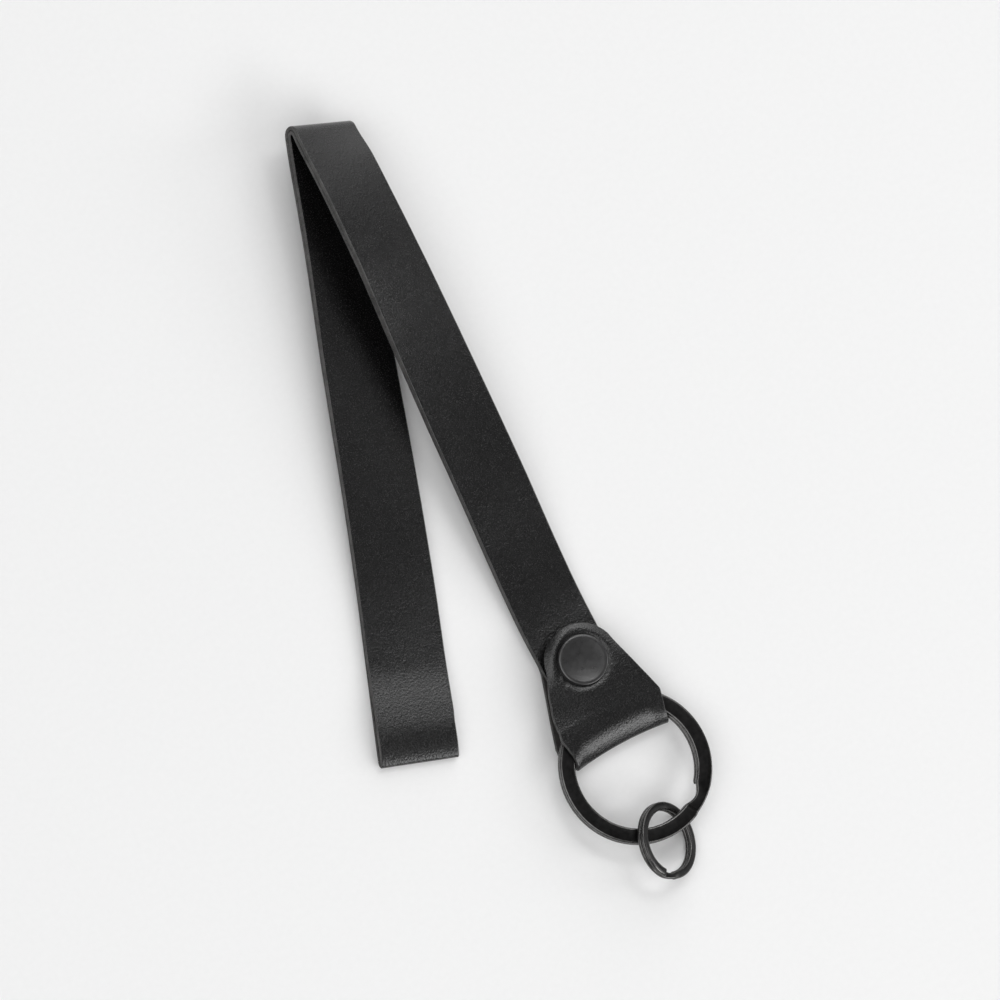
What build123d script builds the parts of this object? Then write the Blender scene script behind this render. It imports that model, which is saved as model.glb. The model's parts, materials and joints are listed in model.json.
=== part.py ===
from build123d import *
import os
from math import cos, radians, sin, tan

# Wristlet keychain: one leather strip folded into a doubled wrist loop and snapped shut round a
# split ring, which carries a second, smaller split ring. Millimetres, +Z up, table at z = 0.
# The model is laid out from the centre of the big ring, with +Y from the ring along the strap and
# +X to the strap's right, and is moved at the end so that the origin is under its middle.

# Leather
leather = 0.75           # thickness of the strip
layer_gap = 0.1          # air between the two layers of the doubled strap
neck_width = 14.0        # strap width beside the snap
end_width = 15.5         # strap width at the far end of the loop
strap_length = 230.0     # from the snap to the far end of the loop, along the doubled strap

# Tab that holds the ring
tab_yaw = 2.0            # the tab's axis leans this much towards -X
snap_y = 22.7            # ring centre to snap centre
neck_y = 24.4            # where the tab starts to widen
flare_half = 11.9        # half of the tab's widest part
flare_y = 9.2
fold_half = 9.9          # half of the tab's width at the fold, which lies inside the ring
fold_edge_y = 4.7        # ring centre to the outside of the fold
tab_bottom = 0.6         # the snap's foot lifts the leather this much
pocket = 3.8             # height of the pocket that the ring runs through
tip_radius = 7.0         # round end of the flap
strip_end_y = 16.6       # the strip's other end, trapped under the flap
plate_end_y = 28.0       # the strap is flat from here to the snap

# Snap fastener
cap_radius = 5.0
cap_height = 0.95
cap_edge = 0.45
foot_radius = 4.6
shank_radius = 1.2
hole_radius = 1.28
stud_flange = (3.6, 0.3)     # radius, height
stud_neck_radius = 1.5
stud_head = (1.75, 0.45)     # radius, height
stud_top = 4.12
socket_radius = 4.2
socket_bottom = 3.45
socket_bore = 2.35
socket_roof = 0.3
spring_wire = 0.13

# Split rings: outer radius, radial width of the wire, height of one turn, gap between turns
big_ring = (15.0, 3.0, 1.07, 0.06)
small_ring = (7.5, 1.6, 0.8, 0.04)
ring_edge = 0.24             # rounding of the wire's corners, as a share of one turn's height
big_ends = (-62.0, -41.0)    # where the upper turn ends and where the step down starts, degrees
small_ends = (-128.0, -106.0)
ring_lift = 3.5              # the big ring's free side is propped up by the small ring
ring_lift_y = 12.0           # where the lifted ring's plane passes the middle of the pocket
small_centre = Vector(-1.0, -15.3, 4.72)
small_normal = Vector(0.525, -0.100, 0.845)

# Fold at the top of the loop, where the doubled strap turns back on itself
top_axis_point = Vector(-2.52, 134.36, 7.35)
top_yaw = -15.0              # the fold line runs right and towards the ring
top_roll = 24.0              # and falls towards the right
front_rise = 18.0            # the front run leaves the fold upwards
back_fall = 3.0              # the back run leaves it downwards
top_inner_radius = 0.35

# Fold at the far end of the loop
end_axis_point = Vector(-36.85, 20.07, 1.47)
end_yaw = -17.0
end_inner_radius = 0.7

# Middle of the doubled strap: x, y, z, roll (left edge up, degrees), air between the layers
front_stations = [
    (-2.11, 127.5, 9.90, 23.0, layer_gap),
    (-2.23, 119.0, 10.8, 22.0, layer_gap),
    (-2.21, 108.0, 10.8, 19.5, layer_gap),
    (-2.18, 92.0, 9.5, 13.0, layer_gap),
    (-1.94, 75.0, 7.4, 7.0, layer_gap),
    (-1.60, 60.0, 5.2, 4.0, layer_gap),
    (-1.35, 46.0, 2.75, 3.0, layer_gap),
    (-1.20, 37.0, 1.62, 1.5, layer_gap),
]
back_stations = [
    (-8.18, 114.1, 5.00, 20.0, layer_gap),
    (-14.67, 91.8, 3.85, 13.5, layer_gap),
    (-21.62, 67.3, 2.45, 7.0, layer_gap),
    (-26.90, 49.6, 1.25, 1.5, layer_gap),
    (-31.60, 35.5, 0.95, 0.0, 0.20),
    (-34.40, 27.3, 1.15, 0.0, 0.70),
]

# Heights that follow from the sizes above
tab_top = tab_bottom + leather
strip_end_bottom = tab_top + layer_gap
strip_end_top = strip_end_bottom + leather
flap_bottom = tab_top + pocket
flap_top = flap_bottom + leather
fold_inner = pocket / 2
fold_z = tab_top + fold_inner
fold_y = fold_edge_y + fold_inner + leather
tab_middle = tab_top + layer_gap / 2
tab_place = Location((0, 0, 0), (0, 0, tab_yaw))
big_centre = (0, 0, fold_z + ring_lift_y * tan(radians(ring_lift)))

X = Vector(1, 0, 0)
Y = Vector(0, 1, 0)
Z = Vector(0, 0, 1)


def turned(vector, axis, angle):
    return vector.rotate(Axis((0, 0, 0), axis), angle)


class Station:
    """A place along the doubled strap: its middle, its direction and its width direction."""

    def __init__(self, middle, along, across, gap):
        self.middle = middle
        self.along = along.normalized()
        self.across = (across - self.along * across.dot(self.along)).normalized()
        self.up = self.along.cross(self.across)
        self.gap = gap
        self.width = neck_width

    def section(self, side):
        """The leather's section in the layer on the given side, 1 up or -1 down."""
        offset = side * (self.gap + leather) / 2
        plane = Plane(
            origin=self.middle + self.up * offset, x_dir=self.across, z_dir=self.along
        )
        return plane * Rectangle(self.width, leather)


def rolled_across(along, roll):
    """The width direction of a strap that runs along and has its left edge up by roll."""
    right = Vector(-along.Y, along.X, 0).normalized()
    return turned(right, along, -roll)


def stations_between(first, rows, last):
    """The given rows as stations, each with the direction of its neighbours."""
    points = [first.middle] + [Vector(*row[:3]) for row in rows] + [last.middle]
    inner = []
    for i, row in enumerate(rows, start=1):
        before = (points[i] - points[i - 1]).normalized()
        after = (points[i + 1] - points[i]).normalized()
        along = (before + after).normalized()
        inner.append(Station(points[i], along, rolled_across(along, row[3]), row[4]))
    return [first] + inner + [last]


def set_widths(stations, length):
    """The strap widens evenly from the snap to the far end of the loop."""
    for i, station in enumerate(stations):
        if i:
            length += (station.middle - stations[i - 1].middle).length
        share = min(max(length / strap_length, 0), 1)
        station.width = neck_width + (end_width - neck_width) * share
    return length


# Fold frames
top_line = turned(turned(X, Y, top_roll), Z, top_yaw)
top_level = turned(Vector(0, -1, 0), Z, top_yaw)
top_up = top_level.cross(top_line)
end_line = turned(X, Z, end_yaw)
end_along = turned(Vector(0, -1, 0), Z, end_yaw)


def top_direction(angle):
    """A direction square to the top fold's line, at an angle above its level direction."""
    return top_level * cos(radians(angle)) + top_up * sin(radians(angle))


def top_station(run_angle, normal_angle):
    """Where a run meets the top fold."""
    radius = top_inner_radius + leather + layer_gap / 2
    middle = top_axis_point + top_direction(normal_angle) * radius
    return Station(middle, top_direction(run_angle), top_line, layer_gap)


front_top = top_station(front_rise, front_rise + 90)
back_top = top_station(-back_fall, -back_fall - 90)

tab_along = turned(Vector(0, -1, 0), Z, tab_yaw)
tab_across = turned(X, Z, tab_yaw)
plate_start = Station(
    tab_along * -(plate_end_y + 3.0) + Z * tab_middle, tab_along, tab_across, layer_gap
)
plate_end = Station(tab_along * -plate_end_y + Z * tab_middle, tab_along, tab_across, layer_gap)
loop_end = Station(end_axis_point, end_along, end_line, 2 * end_inner_radius)

front = stations_between(front_top, front_stations, plate_start) + [plate_end]
back = stations_between(back_top, back_stations, loop_end)
front_length = set_widths(front[::-1], plate_end_y - snap_y)
back_length = set_widths(back, front_length)
for station in (front_top, back_top):
    station.width = front_top.width
loop_end.width = end_width


def layer(stations, side):
    """One layer of the doubled strap, as a smooth strip through the stations."""
    return loft([station.section(side) for station in stations])


def fold(centre, level, line, width, inner, start, stop):
    """A bent piece of leather round the line through centre, from start to stop degrees."""
    plane = Plane(origin=centre, x_dir=level, z_dir=-line)
    outer = inner + leather
    outside = CenterArc((0, 0), outer, start, stop - start)
    inside = CenterArc((0, 0), inner, start, stop - start)
    ends = [Line(outside @ share, inside @ share) for share in (0, 1)]
    face = make_face([outside, inside] + ends)
    return extrude(plane * face, width / 2, both=True)


def top_fold(inner):
    """One layer of the fold at the top of the loop."""
    return fold(
        top_axis_point, top_level, top_line, front_top.width, inner,
        front_rise + 90, 270 - back_fall,
    )


def back_run():
    """The far half of the loop: its upper layer, the fold at its end and its lower layer."""
    bend = fold(
        end_axis_point, end_along, end_line, loop_end.width, end_inner_radius, -90, 90
    )
    return layer(back, 1) + bend + layer(back, -1)


def plate(outline, bottom):
    """A flat piece of leather with the given outline, in the tab's own directions."""
    face = make_face(Polyline(outline + outline[:1]))
    return extrude(Location((0, 0, bottom)) * face, leather)


def flare_outline(top_y):
    """The tab's outline from the fold to the neck, and straight on to top_y."""
    right = [
        (neck_width / 2, top_y),
        (neck_width / 2, neck_y),
        (flare_half, flare_y),
        (fold_half, fold_y),
    ]
    return right + [(-x, y) for x, y in reversed(right)]


def snap_hole(bottom, height, radius=hole_radius):
    """A round hole at the snap's axis, or a disc of the same place."""
    return Location((0, snap_y, bottom)) * Cylinder(
        radius, height, align=(Align.CENTER, Align.CENTER, Align.MIN)
    )


def front_run_inner():
    """The front run's lower layer, which widens into the back of the ring tab."""
    flat = plate(flare_outline(plate_end_y), tab_bottom) - snap_hole(0, flap_top)
    return layer(front, -1) + tab_place * flat


def front_run_outer():
    """The front run's upper layer, which ends under the flap."""
    half = neck_width / 2
    corner = 3.0
    outline = [
        (half, plate_end_y),
        (half, strip_end_y + corner),
        (half - corner, strip_end_y),
    ]
    outline += [(-x, y) for x, y in reversed(outline)]
    flat = plate(outline, strip_end_bottom) - snap_hole(0, flap_top)
    return layer(front, 1) + tab_place * flat


def ring_flap():
    """The flap over the ring, with its round tip at the snap."""
    tip = snap_hole(flap_bottom, leather, tip_radius)
    flat = plate(flare_outline(snap_y), flap_bottom) + tip
    return tab_place * (flat - snap_hole(0, 2 * flap_top))


def ring_fold():
    """The bend of the tab inside the ring."""
    centre = Vector(0, fold_y, fold_z)
    bend = fold(centre, Vector(0, -1, 0), X, 2 * fold_half, fold_inner, -90, 90)
    return tab_place * bend


def turned_part(profile):
    """A round metal piece of the snap, from its profile as (radius, height) points."""
    face = Plane.XZ * make_face(Polyline(profile + profile[:1]))
    return tab_place * Location((0, snap_y, 0)) * revolve(face, Axis.Z)


def snap_cap():
    """The cap that shows on the flap, with its tube through the leather."""
    tube = shank_radius
    bore = 0.7
    crimp = flap_bottom - socket_roof - 0.02
    cap = turned_part([
        (0, flap_top + cap_height),
        (cap_radius - cap_edge, flap_top + cap_height - 0.12),
        (cap_radius - 0.12, flap_top + cap_height - cap_edge),
        (cap_radius, flap_top),
        (tube, flap_top),
        (tube, crimp),
        (bore, crimp),
        (bore, flap_top + 0.2),
        (0, flap_top + 0.2),
    ])
    return cap


def snap_socket():
    """The ring under the flap that takes the stud."""
    groove = socket_bore + 0.35
    return turned_part([
        (socket_bore, socket_bottom),
        (socket_radius - 0.2, socket_bottom),
        (socket_radius, socket_bottom + 0.2),
        (socket_radius, flap_bottom),
        (hole_radius, flap_bottom),
        (hole_radius, flap_bottom - socket_roof),
        (socket_bore, flap_bottom - socket_roof),
        (socket_bore, socket_bottom + 0.6),
        (groove, socket_bottom + 0.6),
        (groove, socket_bottom + 0.2),
        (socket_bore, socket_bottom + 0.2),
    ])


def snap_spring():
    """The wire ring in the socket's groove that grips the stud."""
    radius = socket_bore + 0.35 - 0.02 - spring_wire
    height = socket_bottom + 0.4
    ring = Location((0, snap_y, height)) * Torus(radius, spring_wire)
    return tab_place * ring


def snap_stud():
    """The stud that the socket grips, on top of the strap's two layers."""
    flange_radius, flange = stud_flange
    head_radius, head = stud_head
    bore = shank_radius + 0.02
    base = strip_end_top
    return turned_part([
        (bore, base),
        (flange_radius, base),
        (flange_radius, base + flange),
        (stud_neck_radius, base + flange),
        (stud_neck_radius, stud_top - head),
        (head_radius, stud_top - head / 2),
        (stud_neck_radius, stud_top),
        (0, stud_top),
        (0, stud_top - 0.2),
        (bore, stud_top - 0.2),
    ])


def snap_post():
    """The foot and shank that hold the stud from below."""
    return turned_part([
        (0, 0),
        (foot_radius - 0.3, 0),
        (foot_radius, 0.3),
        (foot_radius, tab_bottom),
        (shank_radius, tab_bottom),
        (shank_radius, stud_top - 0.3),
        (0, stud_top - 0.3),
    ])


def split_ring(size, ends):
    """A flat wire wound twice round Z about the origin, with its step down between the ends."""
    outer, width, turn, gap = size
    end, step = ends
    middle = outer - width / 2
    lift = (turn + gap) / 2
    wire = RectangleRounded(width, turn, ring_edge * turn)

    def section(angle, height):
        out = Vector(cos(radians(angle)), sin(radians(angle)), 0)
        along = Vector(-sin(radians(angle)), cos(radians(angle)), 0)
        return Plane(out * middle + Z * height, x_dir=out, z_dir=along) * wire

    arc = 360 - (step - end)
    upper = revolve(section(end, lift), Axis.Z, -arc)
    lower = revolve(section(end, -lift), Axis.Z, -arc)
    parts = 6
    steps = []
    for i in range(parts + 1):
        share = i / parts
        ease = share * share * (3 - 2 * share)
        steps.append(section(step + (end - step) * share, lift - 2 * lift * ease))
    return upper + lower + loft(steps)


def key_ring():
    """The big split ring, through the pocket of the tab."""
    return Location(big_centre, (-ring_lift, 0, 0)) * split_ring(big_ring, big_ends)


def second_ring():
    """The small split ring, threaded on the big one and leaning on it."""
    plane = Plane(small_centre, x_dir=Y.cross(small_normal), z_dir=small_normal)
    return plane.location * split_ring(small_ring, small_ends)


def one_solid(shape):
    """The shape as a single solid."""
    solids = shape.solids()
    if len(solids) != 1:
        raise ValueError(f"expected one solid, found {len(solids)}")
    return solids[0]


nodes = {
    "back_run": back_run(),
    "top_fold_outer": top_fold(top_inner_radius + leather + layer_gap),
    "top_fold_inner": top_fold(top_inner_radius),
    "front_run_outer": front_run_outer(),
    "front_run_inner": front_run_inner(),
    "ring_fold": ring_fold(),
    "ring_flap": ring_flap(),
    "snap_cap": snap_cap(),
    "snap_socket": snap_socket(),
    "snap_spring": snap_spring(),
    "snap_stud": snap_stud(),
    "snap_post": snap_post(),
    "key_ring": key_ring(),
    "small_ring": second_ring(),
}

box = Compound(children=[one_solid(shape) for shape in nodes.values()]).bounding_box()
shift = Vector(-box.center().X, -box.center().Y, -box.min.Z)


def report(name, point, axis):
    """Prints a joint's or mount's place and axis in the finished frame."""
    place = point + shift
    print(name, [round(v, 3) for v in place], [round(v, 5) for v in axis])


report("loop_unfold", top_axis_point, top_line)
report("flap_open", turned(Vector(0, fold_y, flap_top), Z, tab_yaw), tab_across)
report("ring_turn", Vector(*big_centre), turned(Z, X, -ring_lift))
report("foot", turned(Vector(0, snap_y, 0), Z, tab_yaw), -Z)
report("small_ring", small_centre, small_normal.normalized())
print("loop length", round(back_length, 1), "box", [round(v, 2) for v in box.size])

os.makedirs("parts", exist_ok=True)
for name, shape in nodes.items():
    solid = one_solid(shape).moved(Location(shift))
    export_step(solid, f"parts/{name}.step")
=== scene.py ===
import json
from math import ceil, cos, degrees, pi, radians, sin, sqrt

import bmesh
import bpy
from mathutils import Matrix, Vector


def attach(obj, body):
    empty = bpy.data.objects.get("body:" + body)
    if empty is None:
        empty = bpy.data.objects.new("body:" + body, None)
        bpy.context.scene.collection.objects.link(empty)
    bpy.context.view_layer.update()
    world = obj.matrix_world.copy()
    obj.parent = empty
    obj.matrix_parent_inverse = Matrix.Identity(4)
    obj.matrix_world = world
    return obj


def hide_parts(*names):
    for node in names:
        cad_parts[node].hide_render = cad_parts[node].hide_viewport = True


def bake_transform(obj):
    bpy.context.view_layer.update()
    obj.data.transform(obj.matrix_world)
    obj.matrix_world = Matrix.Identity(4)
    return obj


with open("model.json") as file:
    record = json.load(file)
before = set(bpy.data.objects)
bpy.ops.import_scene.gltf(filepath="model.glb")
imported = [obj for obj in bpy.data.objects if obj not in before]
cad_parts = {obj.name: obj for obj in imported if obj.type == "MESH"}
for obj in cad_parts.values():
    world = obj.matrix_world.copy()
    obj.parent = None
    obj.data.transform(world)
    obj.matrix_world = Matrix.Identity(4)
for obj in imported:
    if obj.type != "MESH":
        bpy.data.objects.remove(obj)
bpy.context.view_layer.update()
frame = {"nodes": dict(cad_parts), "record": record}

# Wristlet keychain. Shapes are laid out in millimetres from the centre of the big ring, with +Y
# along the strap and +X to its right, and are moved into the CAD frame, in metres, when they
# are finished.

MM = 0.001
X = Vector((1, 0, 0))
Y = Vector((0, 1, 0))
Z = Vector((0, 0, 1))

mounts = {mount["name"]: mount for mount in frame["record"]["mounts"]}
ring_place = Vector(mounts["key_loop"]["pos_m"])
ring_axis = Vector(mounts["key_loop"]["axis"])
small_place = Vector(mounts["small_loop"]["pos_m"])
small_axis = Vector(mounts["small_loop"]["axis"])
layout_origin = Vector((ring_place.x, ring_place.y, 0))
to_frame = Matrix.Translation(layout_origin) @ Matrix.Scale(MM, 4)
ring_centre = (ring_place - layout_origin) / MM
small_centre = (small_place - layout_origin) / MM

# Leather
leather = 0.75            # thickness of the strip
layer_gap = 0.1           # air between the two layers of the doubled strap
neck_width = 14.0         # strap width beside the snap
end_width = 15.5          # strap width at the far end of the loop
strap_length = 230.0      # from the snap to the far end, along the doubled strap
edge_round = 0.2          # rounding of the cut edges
edge_crease = 0.32        # the same on a subdivided piece
row_spacing = 1.4         # mesh rows along the strap
bend_step = 7.0           # degrees between the mesh rows of a bend

# Tab
tab_yaw = 2.0             # the tab's axis leans this much towards -X, degrees
snap_y = 22.7             # ring centre to snap centre
neck_y = 24.4             # where the tab starts to widen
flare_y = 9.0             # where it is widest
flare_half = 11.9         # half of its width there
side_smoothing = 0.7      # how far the corners of its outline are rounded
tab_bottom = 0.6          # the snap's foot lifts the leather this much
pocket = 3.8              # height of the pocket that the ring runs through
fold_edge_y = 4.7         # ring centre to the outside of the bend
fold_stretch = 3.1        # the flap starts to fall this far before the bend
tab_seam_y = 8.6          # where the tab's back joins the bend, on the underside
strip_end_y = 16.6        # the strip's other end, trapped under the flap
plate_end_y = 28.0        # the strip is flat from here to the snap

# Flap
flap_sag = 0.2            # the bend's crown is this much lower than a round one
flap_rise = 0.35          # and the flap rises again towards the snap
dish_depth = 0.30         # the cap presses the leather down round itself
tip_start_y = 24.7        # the round tip starts here
tip_open = 72.5           # half of the angle that the round tip covers
tip_droop = 0.45          # the tip droops this much on its right
left_droop = 0.75         # and this much more on its left
left_spread = 0.7         # the flap spreads out on its left, between the ring and the snap
left_sink = 0.25          # and sinks there
flap_row_spacing = 0.8
flap_columns = 20

tab_top = tab_bottom + leather
tab_middle = tab_top + layer_gap / 2
flap_top = tab_top + pocket + leather
fold_radius = (pocket + leather) / 2
fold_y = fold_edge_y + fold_radius + leather / 2
fold_z = tab_top + pocket / 2
tab_turn = Matrix.Rotation(radians(tab_yaw), 4, "Z")

# Snap cap
cap_radius = 5.0
cap_height = 0.95

# Top fold of the doubled strap
top_axis_point = Vector((-2.52, 134.36, 7.35))
top_yaw = -15.0
top_roll = 24.0
front_rise = 18.0
back_fall = 3.0
top_inner_radius = 0.35

# Fold at the far end of the loop
end_axis_point = Vector((-36.85, 20.07, 1.47))
end_yaw = -17.0
end_inner_radius = 0.7
far_stretch = 5.2         # the upper side starts to fall this far before the bend
far_power = 3.0           # it falls late
far_fullness = 1.0        # and with a crease at the end

# Middle of the doubled strap: x, y, z, roll (left edge up, degrees), air between the layers
front_rows = [
    (-2.11, 127.5, 9.90, 23.0, layer_gap),
    (-2.23, 119.0, 10.8, 22.0, layer_gap),
    (-2.21, 108.0, 10.8, 19.5, layer_gap),
    (-2.18, 92.0, 9.5, 13.0, layer_gap),
    (-1.94, 75.0, 7.4, 7.0, layer_gap),
    (-1.60, 60.0, 5.2, 4.0, layer_gap),
    (-1.35, 46.0, 2.75, 3.0, layer_gap),
    (-1.20, 37.0, 1.62, 1.5, layer_gap),
]
back_rows = [
    (-8.18, 114.1, 5.00, 16.0, layer_gap),
    (-14.67, 91.8, 3.85, 9.5, layer_gap),
    (-21.62, 67.3, 2.45, 5.0, layer_gap),
    (-26.90, 49.6, 1.25, 1.5, layer_gap),
    (-31.60, 35.5, 0.98, 0.0, 0.35),
    (-34.40, 27.3, 1.38, 0.0, 1.22),
]


def ease(value, low, high):
    """0 below low, 1 above high, and smooth between."""
    share = min(max((value - low) / (high - low), 0), 1)
    return share * share * (3 - 2 * share)


def between(value, table):
    """The value of a piecewise linear table of (place, value) rows."""
    for (a, first), (b, second) in zip(table, table[1:]):
        if value <= b:
            return first + (second - first) * max(value - a, 0) / (b - a)
    return table[-1][1]


def turned(vector, axis, angle):
    """The vector turned about the axis by degrees."""
    return Matrix.Rotation(radians(angle), 3, axis) @ vector


# ---------------------------------------------------------------- materials


class Look:
    """A material being built from nodes."""

    def __init__(self, name):
        self.material = bpy.data.materials.new(name)
        self.material.use_nodes = True
        self.tree = self.material.node_tree
        self.shader = self.tree.nodes["Principled BSDF"]

    def node(self, kind, settings=None, **inputs):
        made = self.tree.nodes.new(kind)
        for name, value in (settings or {}).items():
            setattr(made, name, value)
        for name, value in inputs.items():
            self.put(made.inputs[name.replace("_", " ")], value)
        return made

    def put(self, socket, value):
        """Links another node's output to the socket, or sets its value."""
        if isinstance(value, bpy.types.NodeSocket):
            self.tree.links.new(value, socket)
        else:
            socket.default_value = value

    def places(self):
        return self.node("ShaderNodeTexCoord").outputs["Object"]

    def noise(self, scale, detail=3.0, roughness=0.5, places=None):
        made = self.node(
            "ShaderNodeTexNoise",
            Vector=places or self.places(),
            Scale=scale,
            Detail=detail,
            Roughness=roughness,
        )
        return made.outputs["Fac"]

    def cells(self, scale, feature="F1", places=None):
        made = self.node(
            "ShaderNodeTexVoronoi",
            {"feature": feature},
            Vector=places or self.places(),
            Scale=scale,
        )
        return made.outputs["Distance"]

    def span(self, value, low, high, to_low, to_high):
        """Maps low to high onto to_low to to_high."""
        made = self.node("ShaderNodeMapRange", {"clamp": True}, Value=value)
        made.inputs["From Min"].default_value = low
        made.inputs["From Max"].default_value = high
        made.inputs["To Min"].default_value = to_low
        made.inputs["To Max"].default_value = to_high
        return made.outputs["Result"]

    def mix(self, share, first, second):
        made = self.node("ShaderNodeMix", {"data_type": "RGBA"})
        self.put(made.inputs[0], share)
        self.put(made.inputs[6], first)
        self.put(made.inputs[7], second)
        return made.outputs[2]

    def add(self, first, second, share=1.0):
        """The first value plus a share of the second."""
        made = self.node("ShaderNodeMath", {"operation": "MULTIPLY_ADD"})
        self.put(made.inputs[0], second)
        self.put(made.inputs[1], share)
        self.put(made.inputs[2], first)
        return made.outputs[0]

    def bump(self, height, distance, strength=1.0):
        made = self.node(
            "ShaderNodeBump", Height=height, Distance=distance, Strength=strength
        )
        self.put(self.shader.inputs["Normal"], made.outputs["Normal"])

    def set(self, **inputs):
        for name, value in inputs.items():
            self.put(self.shader.inputs[name.replace("_", " ")], value)


def grain_leather():
    """Black leather with a soft shine, a fine pebbled grain and small pores."""
    look = Look("leather_grain")
    places = look.places()
    pebbles = look.cells(3100.0, "SMOOTH_F1", places)
    fine = look.noise(4300.0, detail=2.0, roughness=0.6, places=places)
    cloud = look.noise(90.0, detail=3.0, roughness=0.55, places=places)
    pores = look.span(look.cells(520.0, "F1", places), 0.05, 0.14, 0.0, 1.0)
    height = look.add(look.add(look.add(0.0, pebbles, 0.6), fine, 0.7), pores, 0.2)
    tone = look.mix(
        look.span(cloud, 0.32, 0.7, 0.0, 1.0),
        (0.0018, 0.0017, 0.0018, 1),
        (0.0036, 0.0035, 0.0036, 1),
    )
    speckle = look.mix(
        look.span(fine, 0.54, 0.68, 0.0, 0.7), tone, (0.013, 0.0127, 0.013, 1)
    )
    look.set(
        Base_Color=speckle,
        Roughness=look.span(fine, 0.3, 0.75, 0.19, 0.31),
        Specular_IOR_Level=0.74,
    )
    look.bump(height, 0.00006, 1.0)
    return look.material


def edge_leather():
    """Cut leather, dyed black and rubbed, so it is paler and a little fibrous."""
    look = Look("leather_edge")
    places = look.places()
    fibre = look.noise(3600.0, detail=5.0, roughness=0.7, places=places)
    patch = look.noise(420.0, detail=3.0, roughness=0.6, places=places)
    tone = look.mix(
        look.span(look.add(fibre, patch, 0.5), 0.55, 0.95, 0.0, 1.0),
        (0.012, 0.0117, 0.0115, 1),
        (0.110, 0.107, 0.105, 1),
    )
    look.set(Base_Color=tone, Roughness=look.span(fibre, 0.3, 0.7, 0.5, 0.75))
    look.bump(fibre, 0.00006, 0.7)
    return look.material


def flesh_leather():
    """The rough inner side of the leather."""
    look = Look("leather_flesh")
    places = look.places()
    nap = look.noise(2600.0, detail=6.0, roughness=0.7, places=places)
    patch = look.noise(160.0, detail=3.0, roughness=0.6, places=places)
    tone = look.mix(
        look.span(look.add(nap, patch, 0.6), 0.5, 1.1, 0.0, 1.0),
        (0.012, 0.011, 0.011, 1),
        (0.046, 0.042, 0.040, 1),
    )
    look.set(Base_Color=tone, Roughness=0.93, Sheen_Weight=0.15, Sheen_Roughness=0.5)
    look.bump(nap, 0.00012, 0.8)
    return look.material


def cap_enamel():
    """Satin black enamel with a faint orange-peel surface."""
    look = Look("cap_enamel")
    places = look.places()
    peel = look.noise(900.0, detail=2.0, roughness=0.5, places=places)
    dust = look.noise(5200.0, detail=3.0, roughness=0.6, places=places)
    look.set(
        Base_Color=look.mix(
            look.span(dust, 0.4, 0.75, 0.0, 1.0),
            (0.009, 0.0088, 0.0092, 1),
            (0.018, 0.0176, 0.018, 1),
        ),
        Roughness=look.span(peel, 0.3, 0.7, 0.27, 0.34),
        Specular_IOR_Level=0.95,
        Coat_Weight=0.12,
        Coat_Roughness=0.3,
    )
    look.bump(look.add(peel, dust, 0.25), 0.00003, 0.5)
    return look.material


def plated_metal(name, dark, light, rough, texture=1.0):
    """Plated metal with a mottled satin surface and small rub marks."""
    look = Look(name)
    places = look.places()
    mottle = look.noise(1100.0, detail=4.0, roughness=0.6, places=places)
    rub = look.noise(240.0, detail=5.0, roughness=0.7, places=places)
    look.set(
        Base_Color=look.mix(
            look.span(look.add(mottle, rub, 0.6), 0.6, 1.05, 0.0, 1.0), dark, light
        ),
        Metallic=1.0,
        Roughness=look.span(rub, 0.3, 0.7, rough - 0.06, rough + 0.08),
    )
    look.bump(mottle, 0.00002 * texture, 0.6)
    return look.material


def floor_paper():
    """Smooth pale paper."""
    look = Look("floor_paper")
    places = look.places()
    fibre = look.noise(900.0, detail=3.0, roughness=0.6, places=places)
    look.set(
        Base_Color=look.mix(
            look.span(fibre, 0.3, 0.7, 0.0, 1.0),
            (0.895, 0.895, 0.895, 1),
            (0.910, 0.910, 0.910, 1),
        ),
        Roughness=0.95,
        Specular_IOR_Level=0.1,
    )
    return look.material


grain = grain_leather()
flesh = flesh_leather()
edge = edge_leather()
enamel = cap_enamel()
ring_face = plated_metal(
    "ring_face", (0.012, 0.0118, 0.0118, 1), (0.023, 0.0226, 0.0226, 1), 0.40
)
ring_edge = plated_metal(
    "ring_edge", (0.075, 0.074, 0.073, 1), (0.150, 0.148, 0.146, 1), 0.24
)
small_face = plated_metal(
    "small_ring_face", (0.030, 0.0295, 0.0295, 1), (0.050, 0.049, 0.049, 1), 0.33, 0.5
)
small_edge = plated_metal(
    "small_ring_edge", (0.075, 0.074, 0.073, 1), (0.130, 0.128, 0.126, 1), 0.25, 0.5
)
snap_metal = plated_metal(
    "snap_metal", (0.085, 0.083, 0.08, 1), (0.19, 0.185, 0.18, 1), 0.33
)
spring_wire = plated_metal(
    "spring_wire", (0.42, 0.42, 0.42, 1), (0.62, 0.62, 0.61, 1), 0.25
)


# ---------------------------------------------------------------- mesh helpers


def mesh_object(name, vertices, faces, materials, face_materials=None):
    """A smooth mesh object, still in millimetres."""
    mesh = bpy.data.meshes.new(name)
    mesh.from_pydata([tuple(v) for v in vertices], [], faces)
    for material in materials:
        mesh.materials.append(material)
    for i, polygon in enumerate(mesh.polygons):
        polygon.use_smooth = True
        if face_materials:
            polygon.material_index = face_materials[i]
    made = bpy.data.objects.new(name, mesh)
    bpy.context.scene.collection.objects.link(made)
    return made


def apply_modifiers(obj):
    """Replaces the object's mesh with the one that its modifiers make."""
    bpy.context.view_layer.update()
    graph = bpy.context.evaluated_depsgraph_get()
    mesh = bpy.data.meshes.new_from_object(obj.evaluated_get(graph))
    obj.modifiers.clear()
    obj.data = mesh


def into_frame(obj):
    """Moves the finished mesh from the layout in millimetres to the CAD frame in metres."""
    obj.data.transform(to_frame)
    obj.data.update()
    return obj


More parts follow.
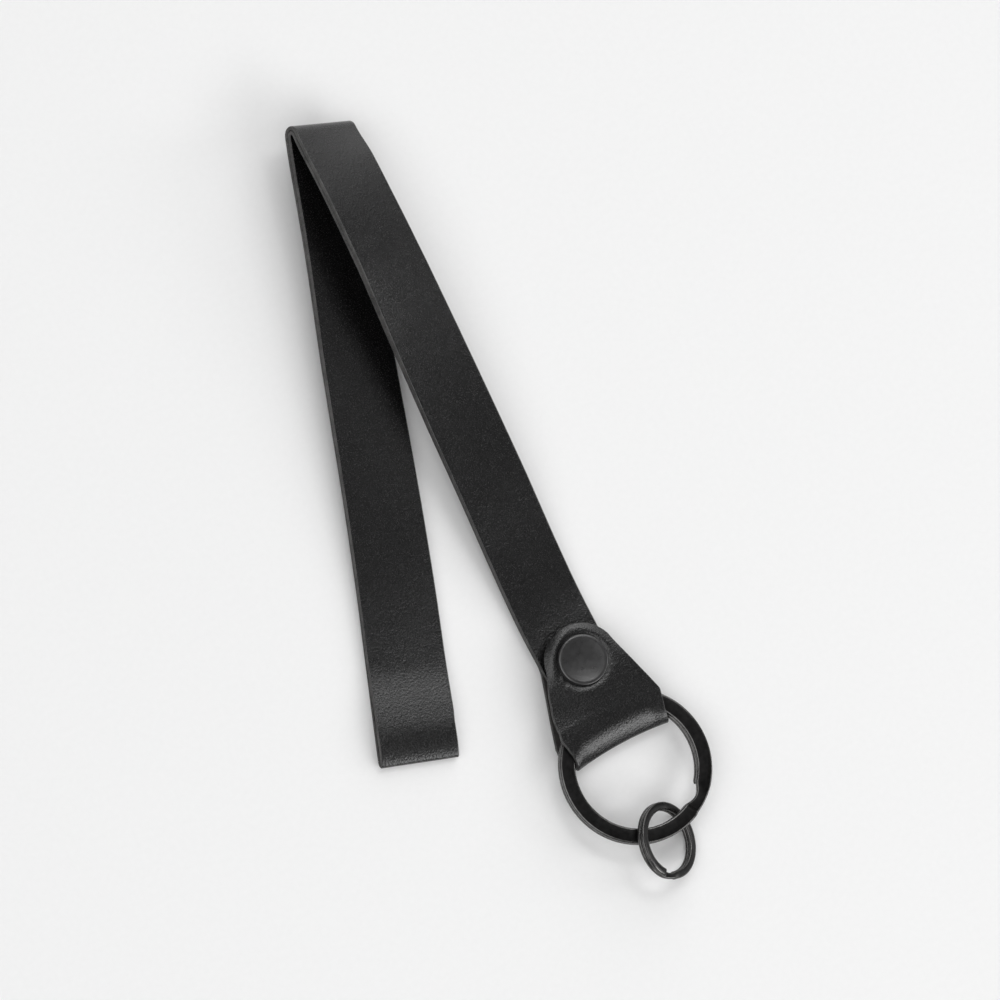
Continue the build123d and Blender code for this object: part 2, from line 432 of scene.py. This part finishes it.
def outward(obj):
    """Turns every face of a closed mesh outwards."""
    work = bmesh.new()
    work.from_mesh(obj.data)
    bmesh.ops.recalc_face_normals(work, faces=work.faces)
    work.to_mesh(obj.data)
    work.free()


# ---------------------------------------------------------------- leather


class Station:
    """A place along the doubled strap: its middle, its direction and its width direction."""

    def __init__(self, middle, along, across, gap, width=neck_width):
        self.middle = middle
        self.along = along.normalized()
        self.across = (across - self.along * across.dot(self.along)).normalized()
        self.up = self.along.cross(self.across)
        self.gap = gap
        self.width = width


def rolled_across(along, roll):
    """The width direction of a strap that runs along and has its left edge up by roll."""
    right = Vector((-along.y, along.x, 0)).normalized()
    return turned(right, along, -roll)


def stations_between(first, rows, last):
    """The given rows as stations, each with the direction of its neighbours."""
    points = [first.middle] + [Vector(row[:3]) for row in rows] + [last.middle]
    inner = []
    for i, row in enumerate(rows, start=1):
        before = (points[i] - points[i - 1]).normalized()
        after = (points[i + 1] - points[i]).normalized()
        along = (before + after).normalized()
        inner.append(Station(points[i], along, rolled_across(along, row[3]), row[4]))
    return [first] + inner + [last]


def set_widths(stations, length):
    """The strap widens evenly from the snap to the far end of the loop."""
    for i, station in enumerate(stations):
        if i:
            length += (station.middle - stations[i - 1].middle).length
        share = min(max(length / strap_length, 0), 1)
        station.width = neck_width + (end_width - neck_width) * share
    return length


top_line = turned(turned(X, Y, top_roll), Z, top_yaw)
top_level = turned(-Y, Z, top_yaw)
top_up = top_level.cross(top_line)
end_line = turned(X, Z, end_yaw)
end_along = turned(-Y, Z, end_yaw)
tab_along = turned(-Y, Z, tab_yaw)
tab_across = turned(X, Z, tab_yaw)


def top_direction(angle):
    """A direction square to the top fold's line, at an angle above its level direction."""
    return top_level * cos(radians(angle)) + top_up * sin(radians(angle))


def top_station(run_angle, normal_angle):
    """Where a run meets the top fold."""
    radius = top_inner_radius + leather + layer_gap / 2
    middle = top_axis_point + top_direction(normal_angle) * radius
    return Station(middle, top_direction(run_angle), top_line, layer_gap)


def tab_station(y):
    """A place on the flat part of the strap beside the snap."""
    return Station(tab_along * -y + Z * tab_middle, tab_along, tab_across, layer_gap)


front_top = top_station(front_rise, front_rise + 90)
back_top = top_station(-back_fall, -back_fall - 90)
far_end = Station(end_axis_point, end_along, end_line, 2 * end_inner_radius)
front = stations_between(front_top, front_rows, tab_station(plate_end_y + 3))
front.append(tab_station(plate_end_y))
back = stations_between(back_top, back_rows, far_end)
set_widths(back, set_widths(front[::-1], plate_end_y - snap_y))
back_top.width = front_top.width


def smooth_run(stations):
    """Stations close together on a smooth line through the given ones."""
    run = []
    for a, b in zip(stations, stations[1:]):
        chord = (b.middle - a.middle).length
        steps = ceil(chord / row_spacing)
        for i in range(steps):
            t = i / steps
            middle = (
                a.middle * (2 * t**3 - 3 * t**2 + 1)
                + a.along * chord * (t**3 - 2 * t**2 + t)
                + b.middle * (3 * t**2 - 2 * t**3)
                + b.along * chord * (t**3 - t**2)
            )
            run.append(Station(
                middle,
                a.along.lerp(b.along, t),
                a.across.lerp(b.across, t),
                a.gap + (b.gap - a.gap) * t,
                a.width + (b.width - a.width) * t,
            ))
    run.append(stations[-1])
    return run


def columns(half, count=10):
    """Places across a strip of the given half width, with one close to each edge."""
    inner = half - 2 * edge_round
    return [-half] + [inner * (2 * i / count - 1) for i in range(count + 1)] + [half]


def run_rows(stations, side):
    """The middle surface of one layer of a run, row by row."""
    rows = []
    for station in smooth_run(stations):
        middle = station.middle + station.up * side * (station.gap + leather) / 2
        rows.append([middle + station.across * x for x in columns(station.width / 2)])
    return rows


def bend_reach(angle, radius, stretch=0.0, power=2.0, fullness=2.0):
    """How far a bend reaches at an angle. Its upper half starts further back by stretch, and
    falls more evenly with a lower fullness and later with a higher power."""
    if angle <= 0 or not stretch:
        return radius * cos(radians(angle))
    share = max(1 - sin(radians(angle)) ** fullness, 0) ** (1 / power)
    return (radius + stretch) * share - stretch


def bend_rows(centre, level, up, line, width, radius, start, stop, **roll_over):
    """The middle surface of a bend round the line through centre, without its end rows."""
    steps = ceil(abs(stop - start) / bend_step)
    rows = []
    for i in range(1, steps):
        angle = start + (stop - start) * i / steps
        reach = bend_reach(angle, radius, **roll_over)
        middle = centre + level * reach + up * radius * sin(radians(angle))
        rows.append([middle + line * x for x in columns(width / 2)])
    return rows


def top_rows(radius):
    """The middle surface of one layer of the top fold."""
    return bend_rows(
        top_axis_point, top_level, top_up, top_line, front_top.width, radius,
        front_rise + 90, 270 - back_fall,
    )


def leather_piece(name, rows, grain_side, subdivisions=0):
    """A piece of leather from its middle surface. At the first row its grain faces the way that
    grain_side points. Its edges are cut square and then rounded."""
    count = len(rows[0])
    vertices = [point for row in rows for point in row]
    faces = [
        (i * count + j, i * count + j + 1, (i + 1) * count + j + 1, (i + 1) * count + j)
        for i in range(len(rows) - 1)
        for j in range(count - 1)
    ]
    normal = (rows[0][1] - rows[0][0]).cross(rows[1][0] - rows[0][0])
    if normal.dot(grain_side) < 0:
        faces = [face[::-1] for face in faces]
    made = mesh_object(name, vertices, faces, [grain, flesh, edge])
    edge_slot = 2
    thick = made.modifiers.new("thickness", "SOLIDIFY")
    thick.thickness = leather
    thick.offset = 0
    thick.use_even_offset = False
    thick.use_quality_normals = True
    thick.material_offset = 1
    thick.material_offset_rim = edge_slot
    if subdivisions:
        thick.edge_crease_inner = edge_crease
        thick.edge_crease_outer = edge_crease
        finer = made.modifiers.new("finer", "SUBSURF")
        finer.levels = subdivisions
        finer.render_levels = subdivisions
    else:
        rounded = made.modifiers.new("cut_edges", "BEVEL")
        rounded.width = edge_round
        rounded.segments = 3
        rounded.limit_method = "ANGLE"
        rounded.angle_limit = radians(50)
        rounded.use_clamp_overlap = False
        rounded.material = edge_slot
    apply_modifiers(made)
    into_frame(made)
    return made


# Outer layer: from the end trapped under the flap, up the front, over the top fold and down the
# underside of the back run to the far end.
outer_front = run_rows(front + [tab_station(strip_end_y)], 1)[::-1]
outer_radius = top_inner_radius + 1.5 * leather + layer_gap
outer_rows = outer_front + top_rows(outer_radius) + run_rows(back, -1)
outer_strap = leather_piece("strap_outer_layer", outer_rows, Z)

# Inner layer: round the far end, up the back run's top side, round the inside of the top fold and
# down the underside of the front run to the tab.
far_bend = bend_rows(
    end_axis_point, end_along, Z, end_line, end_width, end_inner_radius + leather / 2, -90, 90,
    stretch=far_stretch, power=far_power, fullness=far_fullness,
)
far_seam = run_rows(back, -1)[-1:]
far_start = Station(
    end_axis_point - end_along * far_stretch, end_along, end_line, far_end.gap, end_width
)
inner_back = run_rows(back[:-1] + [far_start], 1)[::-1]
inner_top = top_rows(top_inner_radius + leather / 2)[::-1]

tab_sides = [             # distance from the ring's centre, half width
    (fold_y, 11.0),
    (flare_y, flare_half),
    (neck_y, neck_width / 2),
    (plate_end_y, neck_width / 2),
]
bend_sides = [(0, 10.25), (55, 10.3), (90, 11.0)]    # degrees from level, half width


def tab_half(y):
    """Half width of the tab, with its corners slightly rounded."""
    spread = (-1, -0.5, 0, 0.5, 1)
    return sum(between(y + side_smoothing * s, tab_sides) for s in spread) / len(spread)


def bow(share, y):
    """The bend stands out further at its two corners than in its middle."""
    return (0.35 - 0.72 * share * share) * (1 - ease(y, 7.0, 15.0))


def tab_row(y, z, half):
    """A row of the tab at the given distance from the ring's centre."""
    row = []
    for x in columns(half):
        row.append(tab_turn @ Vector((x, y + bow(x / half, y), z)))
    return row


def tab_back_rows():
    """The tab's back plate, from the strap to just short of the bend."""
    steps = ceil((plate_end_y - tab_seam_y) / row_spacing)
    height = tab_bottom + leather / 2
    rows = []
    for i in range(1, steps + 1):
        y = plate_end_y + (tab_seam_y - plate_end_y) * i / steps
        rows.append(tab_row(y, height, tab_half(y)))
    return rows


inner_front = run_rows(front, -1)
inner_rows = far_seam + far_bend + inner_back + inner_top + inner_front + tab_back_rows()
inner_strap = leather_piece("strap_inner_layer", inner_rows, -Z)


def left_side(point):
    """1 on the flap's left between the ring and the snap, and 0 elsewhere."""
    return ease(-point.x, 0.0, 9.0) * ease(point.y, 11.0, 16.0) * (1 - ease(point.y, 19.0, 25.0))


def flap_height(point):
    """The flap's middle, pressed down round the cap and drooping a little at its tip."""
    away = sqrt(point.x ** 2 + (point.y - snap_y) ** 2)
    dish = -dish_depth * (1 - ease(away, 4.9, 5.6))
    droop = -(tip_droop + left_droop * ease(-point.x, -2.0, 4.5))
    droop *= ease(away, 5.4, 8.4) * ease(point.y, 20.0, 26.0)
    rise = flap_rise * ease(point.y, 9.0, 20.0)
    return flap_top - leather / 2 - flap_sag + dish + droop + rise


def flap_bend_row(angle, shares):
    """A row of the bend, which is fuller at its two sides, where the ring's wire passes."""
    z = fold_z + fold_radius * sin(radians(angle)) - flap_sag * ease(angle, 0, 90)
    half = between(abs(angle), bend_sides)
    row = []
    for share in shares:
        fullness = 1.0 + ease(abs(share), 0.7, 1.0)
        y = fold_y - bend_reach(angle, fold_radius, fold_stretch, 2.0, fullness)
        row.append(Vector((share * half, y + bow(share, y), z)))
    return row


def flap_tip_row(y, round_share, shares):
    """A row that is straight at a round_share of 0 and the arc of the round tip at 1."""
    half = tab_half(y)
    open_angle = max(round_share, 0.02) * radians(tip_open)
    height = half * (1 - cos(open_angle)) / sin(open_angle)
    row = []
    for share in shares:
        x = half * sin(share * open_angle) / sin(open_angle)
        rise = (cos(share * open_angle) - cos(open_angle)) / (1 - cos(open_angle))
        point = Vector((x, y + bow(share, y) + height * rise, 0))
        left = left_side(point)
        point.z = flap_height(point) - left_sink * left
        point.x -= left_spread * left
        row.append(point)
    return row


def flap_rows():
    """The bend and the flap, from the seam under the ring to the round tip at the snap."""
    edge_share = 0.94
    inner = [2 * i / flap_columns - 1 for i in range(flap_columns + 1)]
    shares = [-1.0] + [s * edge_share for s in inner] + [1.0]
    rows = []

    bottom = tab_bottom + leather / 2
    for y in (tab_seam_y, (tab_seam_y + fold_y) / 2):
        half = tab_half(y)
        rows.append([Vector((s * half, y + bow(s, y), bottom)) for s in shares])

    bend_steps = 22
    for i in range(bend_steps + 1):
        rows.append(flap_bend_row(-90 + 180 * i / bend_steps, shares))

    flat_start = fold_y + fold_stretch
    flat_stop = 12.5
    steps = ceil((flat_stop - flat_start) / flap_row_spacing)
    for i in range(1, steps + 1):
        y = flat_start + (flat_stop - flat_start) * i / steps
        half = tab_half(y)
        row = [Vector((s * half, y + bow(s, y), 0)) for s in shares]
        for point in row:
            point.z = flap_height(point)
        rows.append(row)

    tip_y = snap_y + tab_half(tip_start_y)
    steps = ceil((tip_y - flat_stop) / (0.8 * flap_row_spacing))
    for i in range(1, steps + 1):
        share = i / steps
        rows.append(flap_tip_row(flat_stop + (tip_start_y - flat_stop) * share, share, shares))
    return [[tab_turn @ point for point in row] for row in rows]


flap_surface = flap_rows()
flap = leather_piece("ring_flap_skin", flap_surface, -Z, subdivisions=2)

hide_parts("front_run_outer", "top_fold_outer")
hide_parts("back_run", "front_run_inner", "top_fold_inner")
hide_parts("ring_flap", "ring_fold")


def in_frame(point):
    """A point of the layout, in the CAD frame in metres."""
    return to_frame @ point


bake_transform(outer_strap)
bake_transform(inner_strap)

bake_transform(flap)


# ---------------------------------------------------------------- snap


def lathe(name, profile, materials, sides=96):
    """A round piece about the snap's axis from its closed (radius, height) profile."""
    vertices = []
    faces = []
    count = len(profile)
    for i in range(sides):
        angle = 2 * pi * i / sides
        for radius, height in profile:
            point = Vector((radius * cos(angle), snap_y + radius * sin(angle), height))
            vertices.append(tab_turn @ point)
    for i in range(sides):
        here = i * count
        there = (i + 1) % sides * count
        for j in range(count):
            k = (j + 1) % count
            faces.append((here + j, here + k, there + k, there + j))
    made = mesh_object(name, vertices, faces, materials)
    work = bmesh.new()
    work.from_mesh(made.data)
    bmesh.ops.remove_doubles(work, verts=work.verts, dist=1e-4)
    bmesh.ops.recalc_face_normals(work, faces=work.faces)
    work.to_mesh(made.data)
    work.free()
    return made


def cap_profile():
    """The cap's section: a shallow dish, a rolled rim and the tube through the leather."""
    top = flap_top + cap_height
    rim_radius = 0.26
    rim_middle = (cap_radius - 0.1 - rim_radius, top - 0.20 - rim_radius)
    dish = 0.36
    dish_edge = rim_middle[0] - 0.05
    profile = []
    for i in range(11):
        radius = dish_edge * i / 10
        profile.append((radius, top - 0.16 - dish * (1 - (radius / dish_edge) ** 2)))
    for i in range(1, 9):
        angle = radians(90 - 11.25 * i)
        profile.append((
            rim_middle[0] + rim_radius * cos(angle),
            rim_middle[1] + rim_radius * sin(angle),
        ))
    base = flap_top - 0.42
    tube = 1.2
    bore = 0.7
    crimp = tab_top + pocket - 0.32
    profile += [
        (cap_radius - 0.08, flap_top - 0.1),
        (cap_radius - 0.12, base),
        (tube, base),
        (tube, crimp + 0.08),
        (tube - 0.08, crimp),
        (bore + 0.08, crimp),
        (bore, crimp + 0.08),
        (bore, base + 0.1),
        (0, base + 0.1),
    ]
    return profile


cap = lathe("snap_cap_skin", cap_profile(), [enamel])
into_frame(cap)
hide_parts("snap_cap")
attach(cap, "flap")

for node, material in (
    ("snap_socket", snap_metal),
    ("snap_stud", snap_metal),
    ("snap_post", snap_metal),
    ("snap_spring", spring_wire),
):
    mesh = frame["nodes"][node].data
    mesh.materials.clear()
    mesh.materials.append(material)


# ---------------------------------------------------------------- rings


wire_step = 2.0           # degrees between the sections of a ring's wire


def wire_section(width, height, corner, crown):
    """A rounded flat wire's section as (across, up) points, crowned on its two faces."""
    points = []
    half_w = width / 2 - corner
    half_h = height / 2 - corner
    for quarter in range(4):
        sign_x = (1, -1, -1, 1)[quarter]
        sign_y = (1, 1, -1, -1)[quarter]
        for i in range(5):
            angle = radians(90 * quarter + 22.5 * i)
            points.append((
                sign_x * half_w + corner * cos(angle),
                sign_y * half_h + corner * sin(angle),
            ))
        if quarter in (0, 2):
            for share in (0.5, 0, -0.5):
                x = sign_x * half_w * share
                points.append((x, sign_y * (height / 2 + crown * (1 - share * share))))
        else:
            points.append((sign_x * width / 2, 0))
    return points


def split_ring(name, place, axis, x_axis, size, ends, shape, looks):
    """A wire wound twice round its axis, with a narrow step down and two blunt ends. The size is
    its outer radius, the wire's width, one turn's height and the gap between turns. The ends are
    where the upper turn ends and the step starts, in degrees."""
    outer, width, turn, gap = size
    end, step = ends
    middle = outer - width / 2
    lift = (turn + gap) / 2
    y_axis = axis.cross(x_axis)
    step_arc = step - end
    arc = 360 - step_arc
    total = 2 * arc + step_arc
    section = wire_section(width, turn, shape["corner"] * turn, shape["crown"])
    count = len(section)
    blunt = degrees(shape["blunt"] / middle)
    places = [blunt * (1 - cos(radians(90 * i / 5))) for i in range(5)]
    body = ceil((total - 2 * blunt) / wire_step)
    places += [blunt + (total - 2 * blunt) * i / body for i in range(body + 1)]
    places += [total - p for p in places[:5][::-1]]
    vertices = []
    for place_angle in places:
        from_end = min(place_angle, total - place_angle) / blunt
        size_here = 1 if from_end >= 1 else sqrt(max(1 - (1 - from_end) ** 2, 0.02))
        down = ease(place_angle, arc - shape["ease"], arc + step_arc + shape["ease"])
        thin = 1 - shape["narrow"] * 4 * down * (1 - down)
        inward = shape["inward"] * ease(place_angle, total - 130, total - 20)
        angle = radians(end - place_angle)
        out = x_axis * cos(angle) + y_axis * sin(angle)
        outward_shift = width / 2 * (1 - thin) - inward
        centre = place + out * (middle + outward_shift) + axis * (lift - 2 * lift * down)
        for across, up in section:
            vertices.append(
                centre
                + out * across * thin * (0.75 + 0.25 * size_here)
                + axis * up * size_here
            )
    faces = []
    marks = []
    side_limit = width / 2 - 1.15 * shape["corner"] * turn
    for i in range(len(places) - 1):
        for j in range(count):
            k = (j + 1) % count
            faces.append((i * count + j, i * count + k, (i + 1) * count + k, (i + 1) * count + j))
            reach = abs(section[j][0] + section[k][0]) / 2
            marks.append(1 if reach > side_limit else 0)
    faces.append(tuple(range(count)))
    last = (len(places) - 1) * count
    faces.append(tuple(last + j for j in reversed(range(count))))
    marks += [0, 0]
    made = mesh_object(name, vertices, faces, looks, marks)
    outward(made)
    into_frame(made)
    return made


big = split_ring(
    "key_ring_wire", ring_centre, ring_axis, X, (15.0, 3.0, 1.07, 0.06), (-62.0, -41.0),
    {"corner": 0.34, "crown": 0.05, "blunt": 0.9, "ease": 3.0, "narrow": 0.30, "inward": 0.22},
    [ring_face, ring_edge],
)
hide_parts("key_ring")
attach(big, "key_ring")

small = split_ring(
    "small_ring_wire", small_centre, small_axis, Y.cross(small_axis).normalized(),
    (7.5, 1.6, 0.8, 0.04), (-128.0, -106.0),
    {"corner": 0.42, "crown": 0.04, "blunt": 0.5, "ease": 4.0, "narrow": 0.25, "inward": 0.0},
    [small_face, small_edge],
)
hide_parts("small_ring")
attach(small, "small_ring")


# ---------------------------------------------------------------- floor, light, camera


def floor():
    """A plain pale floor under the part."""
    half = 3.0
    mesh = bpy.data.meshes.new("floor")
    mesh.from_pydata(
        [(-half, -half, 0), (half, -half, 0), (half, half, 0), (-half, half, 0)], [], [(0, 1, 2, 3)]
    )
    mesh.materials.append(floor_paper())
    made = bpy.data.objects.new("floor", mesh)
    bpy.context.scene.collection.objects.link(made)


view_tilt = radians(17.0)
view_roll = radians(25.8)
view_span = 0.1905
view_distance = 1.6
aim = in_frame(Vector((-0.84, 56.9, 3.0)))
toward_camera = Vector((-sin(view_tilt), 0, cos(view_tilt)))
level_right = Vector((cos(view_tilt), 0, sin(view_tilt)))
picture_right = level_right * cos(view_roll) - Y * sin(view_roll)
picture_up = level_right * sin(view_roll) + Y * cos(view_roll)


def camera():
    """A long lens, tilted off the vertical and rolled."""
    data = bpy.data.cameras.new("camera")
    data.sensor_width = 36.0
    data.lens = 36.0 * view_distance / view_span
    data.clip_end = 20.0
    made = bpy.data.objects.new("camera", data)
    turn = Matrix((picture_right, picture_up, toward_camera)).transposed()
    made.matrix_world = Matrix.Translation(aim + toward_camera * view_distance) @ turn.to_4x4()
    bpy.context.scene.collection.objects.link(made)
    bpy.context.scene.camera = made


def softbox(name, direction, distance, size, power):
    """A rectangular area light that faces the object."""
    data = bpy.data.lights.new(name, "AREA")
    data.shape = "RECTANGLE"
    data.size, data.size_y = size
    data.energy = power
    made = bpy.data.objects.new(name, data)
    outwards = Vector(direction)
    made.location = aim + outwards.normalized() * distance
    made.rotation_euler = outwards.to_track_quat("Z", "Y").to_euler()
    bpy.context.scene.collection.objects.link(made)


# Name, direction from the object, distance in metres, size in metres, power in watts
softboxes = [
    ("main", (0.52, 0.64, 0.54), 1.2, (1.4, 1.4), 7.5),
    ("top", (0.30, 0.34, 0.90), 1.2, (0.45, 0.25), 1.5),
    ("left", (-0.52, -0.05, 0.85), 1.2, (1.3, 1.3), 8.1),
    ("side", (0.95, -0.40, 0.45), 1.3, (0.40, 0.40), 2.2),
    ("low_front", (0.29, -0.77, 0.56), 1.2, (1.0, 0.32), 5.0),
]
sky_strength = 0.13


def studio():
    """Soft studio light with a dim even sky."""
    world = bpy.data.worlds.new("studio")
    bpy.context.scene.world = world
    world.use_nodes = True
    background = world.node_tree.nodes["Background"]
    background.inputs["Color"].default_value = (1, 1, 1, 1)
    background.inputs["Strength"].default_value = sky_strength
    for box in softboxes:
        softbox(*box)
    bpy.context.scene.view_settings.view_transform = "Standard"


floor()
camera()
studio()
